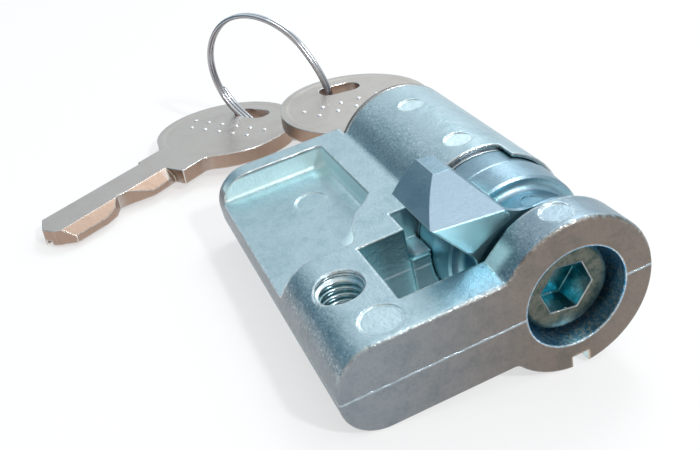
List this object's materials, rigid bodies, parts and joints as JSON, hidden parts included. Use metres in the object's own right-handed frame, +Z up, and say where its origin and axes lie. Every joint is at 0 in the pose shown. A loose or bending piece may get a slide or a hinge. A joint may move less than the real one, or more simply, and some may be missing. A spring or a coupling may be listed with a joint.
{
  "type": "half profile lock cylinder",
  "caption": "Half profile cylinder for a door lock, keyed on one side, with a turning cam, its key inserted and a spare key on a wire ring.",
  "frame": {"origin": "centre of the fixing-screw hole in the web, half way through its thickness", "axes": "+X along the barrel from the key side to the fixed end, +Z up from the surface it lies on, +Y from the web towards the barrel"},
  "size_m": [0.0788, 0.0565, 0.0203],
  "materials": {
    "body_plate": "satin nickel plate",
    "core_plate": "satin nickel plate",
    "cap_plate": "satin nickel plate",
    "cam_plate": "satin nickel plate",
    "key_plate": "satin nickel plate",
    "wafer_brass": "satin",
    "steel": "satin",
    "screw_steel": "satin",
    "ring_steel": "bright",
    "spring_steel": "bright"
  },
  "bodies": {
    "body": {"housing": "body_plate"},
    "core": {"plug": "core_plate", "face_cap": "cap_plate", "wafer_1": "wafer_brass", "wafer_2": "wafer_brass", "wafer_3": "wafer_brass", "wafer_4": "wafer_brass", "wafer_5": "wafer_brass", "wafer_6": "wafer_brass", "wafer_spring_1": "spring_steel", "wafer_spring_2": "spring_steel", "wafer_spring_3": "spring_steel", "wafer_spring_4": "spring_steel", "wafer_spring_5": "spring_steel", "wafer_spring_6": "spring_steel", "plug_washer": "steel", "cam_drive_ring": "cam_plate", "cam": "cam_plate", "screw_washer": "steel", "retaining_screw": "screw_steel"},
    "key": {"key_in_lock": "key_plate"},
    "ring": {"key_ring": "ring_steel"},
    "spare": {"spare_key": "key_plate"}
  },
  "joints": [
    {"name": "core_turn", "type": "hinge", "parent": "body", "child": "core", "pos_m": [0, 0.0193, 0.0034], "axis": [1, 0, 0], "continuous": true},
    {"name": "key_slide", "type": "slide", "parent": "core", "child": "key", "axis": [-1, 0, 0], "range_m": [0, 0.03]},
    {"name": "ring_swing", "type": "hinge", "parent": "key", "child": "ring", "pos_m": [-0.05108, 0.01764, 0.00349], "axis": [0, 0, 1], "range_deg": [-25, 12]},
    {"name": "spare_swing", "type": "hinge", "parent": "ring", "child": "spare", "pos_m": [-0.0628, 0.00778, -0.00233], "axis": [0, 0, 1], "range_deg": [-12, 12]}
  ]
}
